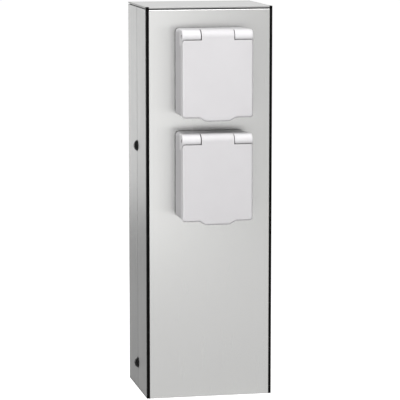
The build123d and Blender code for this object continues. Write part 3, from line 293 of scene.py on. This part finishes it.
def rubber(name, colour):
    """Matt black rubber with a dusty bloom."""
    material, tree, output = new_tree(name)
    place = stretched(tree)
    fine = noise(tree, place, scale=2200.0, detail=3.0)
    bloom = noise(tree, place, scale=90.0, detail=4.0, roughness=0.6)
    base = blended(tree, span(tree, bloom, 0, 1), shaded(colour, 0.8), shaded(colour, 1.6))
    fine_bump = 0.25
    fine_depth = 0.00008
    normal = bumped(tree, [(fine, fine_bump, fine_depth)])
    principled(tree, output, base, span(tree, bloom, 0.62, 0.8), normal)
    return material


def brass(name, colour):
    """Pressed contact brass: tarnish clouds, rolling marks and bright edges."""
    material, tree, output = new_tree(name)
    clouds = noise(tree, stretched(tree), scale=240.0, detail=4.0, roughness=0.6)
    marks = noise(tree, stretched(tree, (4000, 300, 4000)), detail=3.0)
    mask, normal = edge_mask(tree, radius=0.0002)

    tarnish = tuple(part * kept for part, kept in zip(colour, (0.7, 0.62, 0.6)))
    bright_edge = shaded(colour, 1.2)
    base = blended(tree, span(tree, clouds, 0, 0.7), colour, tarnish)
    base = blended(tree, mask, base, bright_edge)

    mark_bump = 0.12
    mark_depth = 0.00003
    normal = bumped(tree, [(marks, mark_bump, mark_depth)], normal)
    principled(tree, output, base, span(tree, clouds, 0.22, 0.42), normal, Metallic=1.0)
    return material


def insulation(name, colour, stripe=None):
    """Glossy wire insulation with faint extrusion lines, and with a second colour in bands."""
    material, tree, output = new_tree(name)
    place = stretched(tree)
    clouds = noise(tree, place, scale=160.0)
    lines = noise(tree, stretched(tree, (5000, 5000, 120)), detail=2.0)
    base = blended(tree, span(tree, clouds, 0, 1), shaded(colour, 0.9), shaded(colour, 1.1))
    if stripe:
        bands = tree.nodes.new("ShaderNodeTexWave")
        bands.bands_direction = "DIAGONAL"
        bands.inputs["Scale"].default_value = 42.0
        tree.links.new(place, bands.inputs["Vector"])
        shown = span(tree, bands.outputs["Fac"], 0, 1, start=0.68, end=0.72)
        base = blended(tree, shown, base, stripe)
    line_bump = 0.1
    line_depth = 0.00005
    normal = bumped(tree, [(lines, line_bump, line_depth)])
    principled(tree, output, base, span(tree, clouds, 0.3, 0.42), normal)
    return material


# Metals
steel = brushed_steel(
    "stainless_sheet", (0.41, 0.409, 0.404),
    rough=(0.258, 0.275), contrast=0.005, spread=0.75, grain_bump=0.004,
)
# A darker copy of the stainless with its reflection tinted down to 0.35: painted shade on the whole
# shell. Its gap shade also reaches wider, as painted contact shadow.
shaded_side_steel = brushed_steel(
    "stainless_shell_shaded", (0.3, 0.3, 0.298),
    rough=(0.36, 0.5), contrast=0.03, tint=0.35, gaps=(0.002, 0.6, 0.95),
)
# The cover's upright faces get painted shade in their colour and their reflection.
top_steel = brushed_steel(
    "stainless_cover", (0.5, 0.5, 0.495), grain=(12, 900, 900), spread=0.0, upright_shade=True,
)
pin_steel = brushed_steel(
    "ground_pin", (0.6, 0.6, 0.6), rough=(0.2, 0.3), grain=(60, 6000, 6000),
)
spring_steel = brushed_steel(
    "spring_wire", (0.42, 0.42, 0.41), rough=(0.25, 0.35), grain=(9000, 9000, 9000),
)
zinc = zinc_plate("zinc_plate", (0.5, 0.5, 0.49))
zinc_screw = zinc_plate("zinc_screw", (0.56, 0.56, 0.55), rough=(0.22, 0.38))

# Black coatings
black_strip = coated(
    "strip_black", (0.002, 0.002, 0.002), rough=(0.5, 0.65), wear=0.06, specular=0.03,
)
black_screw = coated(
    "black_screw", (0.003, 0.003, 0.003), rough=(0.3, 0.42), wear=0.1, specular=0.08,
)

# Plastics
lid_plastic = moulded("lid_plastic", (0.64, 0.628, 0.641))
frame_plastic = moulded("frame_plastic", (0.7, 0.69, 0.703))
# The lid's plastic made about a fifth darker: painted shade that keeps the box's sides darker than
# the lid's face.
box_plastic_shaded = moulded("box_plastic_shaded", (0.52, 0.512, 0.524), rough=(0.42, 0.55))
insert_plastic = moulded("insert_plastic", (0.68, 0.67, 0.685), rough=(0.3, 0.4), grain_bump=0.05)
carrier_plastic = moulded("carrier_plastic", (0.05, 0.05, 0.055))
terminal_grey = moulded("terminal_grey", (0.3, 0.31, 0.32), grain=2600.0, grain_bump=0.15)
terminal_blue = moulded("terminal_blue", (0.03, 0.13, 0.42), grain=2600.0, grain_bump=0.15)
terminal_green = moulded("terminal_green", (0.12, 0.42, 0.07), grain=2600.0, grain_bump=0.15)

# Seals, contacts and wires
dark_gasket = rubber("dark_gasket", (0.022, 0.022, 0.023))
seal_rubber = rubber("seal_rubber", (0.05, 0.05, 0.052))
contact_brass = brass("contact_brass", (0.72, 0.5, 0.2))
brown_wire = insulation("brown_wire", (0.13, 0.05, 0.02))
blue_wire = insulation("blue_wire", (0.03, 0.12, 0.5))
earth_wire = insulation("earth_wire", (0.05, 0.32, 0.06), stripe=(0.75, 0.62, 0.03))

finishes = {
    "housing_shell": shaded_side_steel,
    "front_panel": steel,
    "top_cover": top_steel,
    "left_edge_strip": black_strip,
    "right_edge_strip": black_strip,
    "top_gasket": dark_gasket,
    "cable_grommet": dark_gasket,
    "panel_studs": zinc_screw,
    "cover_studs": zinc_screw,
    "panel_nuts": zinc_screw,
    "cover_nuts": zinc_screw,
    "housing_screws": black_screw,
    "rivet_nuts": zinc_screw,
    "base_plate": zinc,
    "left_upright": zinc,
    "right_upright": zinc,
    "foot_bolts": zinc_screw,
    "rail_bracket": zinc,
    "bracket_rivets": zinc_screw,
    "terminal_rail": zinc,
    "rail_screws": zinc_screw,
    "terminal_screws": zinc_screw,
    "end_clamps": terminal_grey,
    "line_terminal": terminal_grey,
    "neutral_terminal": terminal_blue,
    "earth_terminal": terminal_green,
    "line_wires": brown_wire,
    "neutral_wires": blue_wire,
    "earth_wires": earth_wire,
    "centre_screws": zinc_screw,
    "contact_screws": zinc_screw,
    "socket_screws": zinc_screw,
    "socket_nuts": zinc_screw,
}
for socket in ("upper", "lower"):
    finishes.update({
        f"{socket}_socket_gasket": dark_gasket,
        f"{socket}_socket_box": box_plastic_shaded,
        f"{socket}_frame": frame_plastic,
        f"{socket}_lid": lid_plastic,
        f"{socket}_lid_seal": seal_rubber,
        f"{socket}_hinge_pin": pin_steel,
        f"{socket}_hinge_spring": spring_steel,
        f"{socket}_insert": insert_plastic,
        f"{socket}_earth_clip": contact_brass,
        f"{socket}_line_contact": contact_brass,
        f"{socket}_neutral_contact": contact_brass,
        f"{socket}_contact_carrier": carrier_plastic,
    })
for name, node in nodes.items():
    node.data.materials.clear()
    node.data.materials.append(finishes[name])


def background(tree, white, plain):
    """A shader that is white to camera, glossy and transmission rays, and plain to the rest."""
    path = tree.nodes.new("ShaderNodeLightPath")
    shown = path.outputs["Is Camera Ray"]
    for ray in ("Is Glossy Ray", "Is Transmission Ray"):
        either = tree.nodes.new("ShaderNodeMath")
        either.operation = "MAXIMUM"
        tree.links.new(shown, either.inputs[0])
        tree.links.new(path.outputs[ray], either.inputs[1])
        shown = either.outputs["Value"]
    mix = tree.nodes.new("ShaderNodeMixShader")
    tree.links.new(shown, mix.inputs["Fac"])
    tree.links.new(plain, mix.inputs[1])
    tree.links.new(white, mix.inputs[2])
    return mix.outputs["Shader"]


# A round floor, much wider than any view of the post
floor_radius = 12
floor_corners = 64
floor_grey = 0.45  # takes the post's shadow
floor_glow = 0.9  # with the lamps' light on the grey, it shows as white
floor_bounce = 0.3  # grey of the light that it throws back on the post


def make_floor_paint():
    """White to the camera and in reflections, apart from shadows, and grey to the rest."""
    material, tree, output = new_tree("floor_paint")
    diffuse = tree.nodes.new("ShaderNodeBsdfDiffuse")
    diffuse.inputs["Color"].default_value = (floor_grey, floor_grey, floor_grey, 1)
    glow = tree.nodes.new("ShaderNodeEmission")
    glow.inputs["Strength"].default_value = floor_glow
    both = tree.nodes.new("ShaderNodeAddShader")
    tree.links.new(diffuse.outputs["BSDF"], both.inputs[0])
    tree.links.new(glow.outputs["Emission"], both.inputs[1])
    dull = tree.nodes.new("ShaderNodeBsdfDiffuse")
    dull.inputs["Color"].default_value = (floor_bounce, floor_bounce, floor_bounce, 1)
    mixed = background(tree, both.outputs["Shader"], dull.outputs["BSDF"])
    tree.links.new(mixed, output.inputs["Surface"])
    return material


floor_mesh = bpy.data.meshes.new("floor")
angles = [k * math.tau / floor_corners for k in range(floor_corners)]
corners = [(floor_radius * math.cos(a), floor_radius * math.sin(a), 0) for a in angles]
floor_mesh.from_pydata(corners, [], [tuple(range(floor_corners))])
floor = bpy.data.objects.new("floor", floor_mesh)
scene.collection.objects.link(floor)
floor_mesh.materials.append(make_floor_paint())

# The world is white where it is seen, and lights the post more weakly.
world_light = 0.25

world = bpy.data.worlds.new("studio")
scene.world = world
world.use_nodes = True
tree = world.node_tree
tree.nodes.clear()
output = tree.nodes.new("ShaderNodeOutputWorld")
white = tree.nodes.new("ShaderNodeBackground")
white.inputs["Color"].default_value = white_light
plain = tree.nodes.new("ShaderNodeBackground")
plain.inputs["Color"].default_value = white_light
plain.inputs["Strength"].default_value = world_light
mixed = background(tree, white.outputs["Background"], plain.outputs["Background"])
tree.links.new(mixed, output.inputs["Surface"])


def softbox(name, place, target, size, watts):
    """A square area lamp that faces its target."""
    lamp = bpy.data.lights.new(name, "AREA")
    lamp.shape = "SQUARE"
    lamp.size = size
    lamp.energy = watts
    lamp_object = bpy.data.objects.new(name, lamp)
    lamp_object.location = place
    facing = Vector(target) - Vector(place)
    lamp_object.rotation_euler = facing.to_track_quat("-Z", "Y").to_euler()
    scene.collection.objects.link(lamp_object)


softbox("key", place=(-0.85, -0.95, 0.9), target=(0, 0, 0.25), size=0.7, watts=8.6)
softbox("top", place=(0.05, -0.6, 1.35), target=(0, 0, 0.25), size=0.7, watts=9.7)
softbox("front", place=(-0.24, -0.95, 0.35), target=(-0.08, 0, 0.25), size=0.7, watts=3.1)
softbox("back", place=(-0.35, 0.6, 0.27), target=(-0.065, 0, 0.24), size=0.35, watts=1.8)

# The camera as fitted to the photograph: it looks down and to the right.
camera_lens = 203.8  # mm
camera_sensor = 36  # mm
camera_place = (-0.4705, -2.2819, 0.5309)
camera_down = 8.173  # degrees
camera_right = 11.674  # degrees

camera = bpy.data.cameras.new("camera")
camera.lens = camera_lens
camera.sensor_width = camera_sensor
camera_object = bpy.data.objects.new("camera", camera)
camera_object.location = camera_place
camera_object.rotation_euler = (math.radians(90 - camera_down), 0, math.radians(-camera_right))
scene.collection.objects.link(camera_object)
scene.camera = camera_object
